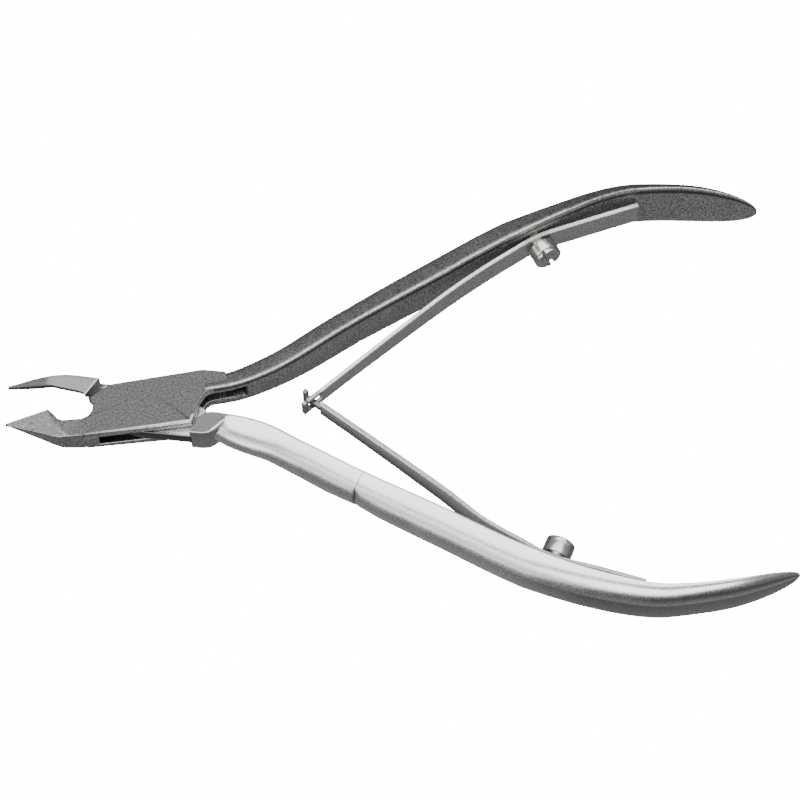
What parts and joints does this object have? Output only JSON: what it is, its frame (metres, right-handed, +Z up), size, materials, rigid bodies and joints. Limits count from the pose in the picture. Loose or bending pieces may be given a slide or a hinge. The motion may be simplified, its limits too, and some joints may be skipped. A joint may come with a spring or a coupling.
{
  "type": "nail clipper",
  "caption": "Cuticle nipper with a box joint, two handles and a double leaf spring that opens the jaws, shown open.",
  "frame": {"origin": "on the pivot axis, at the underside of the joint", "axes": "+X from the pivot to the handle ends, +Y towards the handle of the box half, +Z up along the pivot, away from the face it lies on"},
  "size_m": [0.1127, 0.0699, 0.0094],
  "materials": {
    "forged_steel": "satin",
    "polished_steel": "polished",
    "spring_steel": "satin"
  },
  "bodies": {
    "box_side": {"box_half": "forged_steel", "upper_grip": "forged_steel", "pivot_rivet": "polished_steel", "upper_leaf_screw": "polished_steel"},
    "tongue_side": {"tongue_half": "forged_steel", "lower_grip": "polished_steel", "lower_leaf_screw": "polished_steel"},
    "upper_leaf": {"upper_leaf": "spring_steel"},
    "lower_leaf": {"lower_leaf": "spring_steel"}
  },
  "joints": [
    {"name": "pivot", "type": "hinge", "parent": "box_side", "child": "tongue_side", "pos_m": [0, 0, 0.0025], "axis": [0, 0, 1], "range_deg": [0, 16.5], "stiffness_Nm_per_rad": 0.6, "springref_deg": -17.19},
    {"name": "upper_leaf_flex", "type": "hinge", "parent": "box_side", "child": "upper_leaf", "pos_m": [0.05948, 0.02726, 0.0025], "axis": [0, 0, 1], "range_deg": [-6, 0]},
    {"name": "lower_leaf_flex", "type": "hinge", "parent": "tongue_side", "child": "lower_leaf", "pos_m": [0.05845, -0.02569, 0.0025], "axis": [0, 0, 1], "range_deg": [0, 5.2]}
  ],
  "couplings": [
    {"joint": "upper_leaf_flex", "follows": "pivot", "ratio": -0.34893},
    {"joint": "lower_leaf_flex", "follows": "pivot", "ratio": 0.29595}
  ]
}
